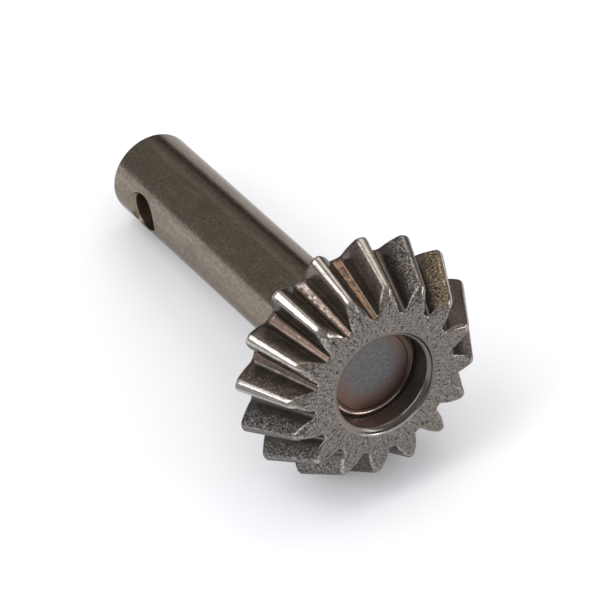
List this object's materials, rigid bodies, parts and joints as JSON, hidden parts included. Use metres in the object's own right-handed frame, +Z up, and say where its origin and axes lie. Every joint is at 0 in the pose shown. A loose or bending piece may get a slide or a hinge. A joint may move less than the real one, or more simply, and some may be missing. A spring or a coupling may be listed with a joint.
{
  "type": "bevel drive gear with shaft",
  "caption": "Straight bevel pinion with a recessed front, brazed on a plain round steel shaft that has a countersunk cross hole near its far end.",
  "frame": {"origin": "middle of the box's underside, on the surface the part lies on", "axes": "+Z up; the shaft runs along +Y away from the gear and slopes down to its far end, so the gear's recessed front face looks along -Y and a little up; the cross hole runs along X"},
  "size_m": [0.0366, 0.0676, 0.0358],
  "materials": {
    "sintered_steel": "sintered steel with fine pores, worn smooth on the flanks and stained with copper in the tooth gaps",
    "ground_steel": "satin ground steel"
  },
  "bodies": {
    "root": {"bevel_gear": "sintered_steel", "shaft": "ground_steel"}
  },
  "joints": []
}
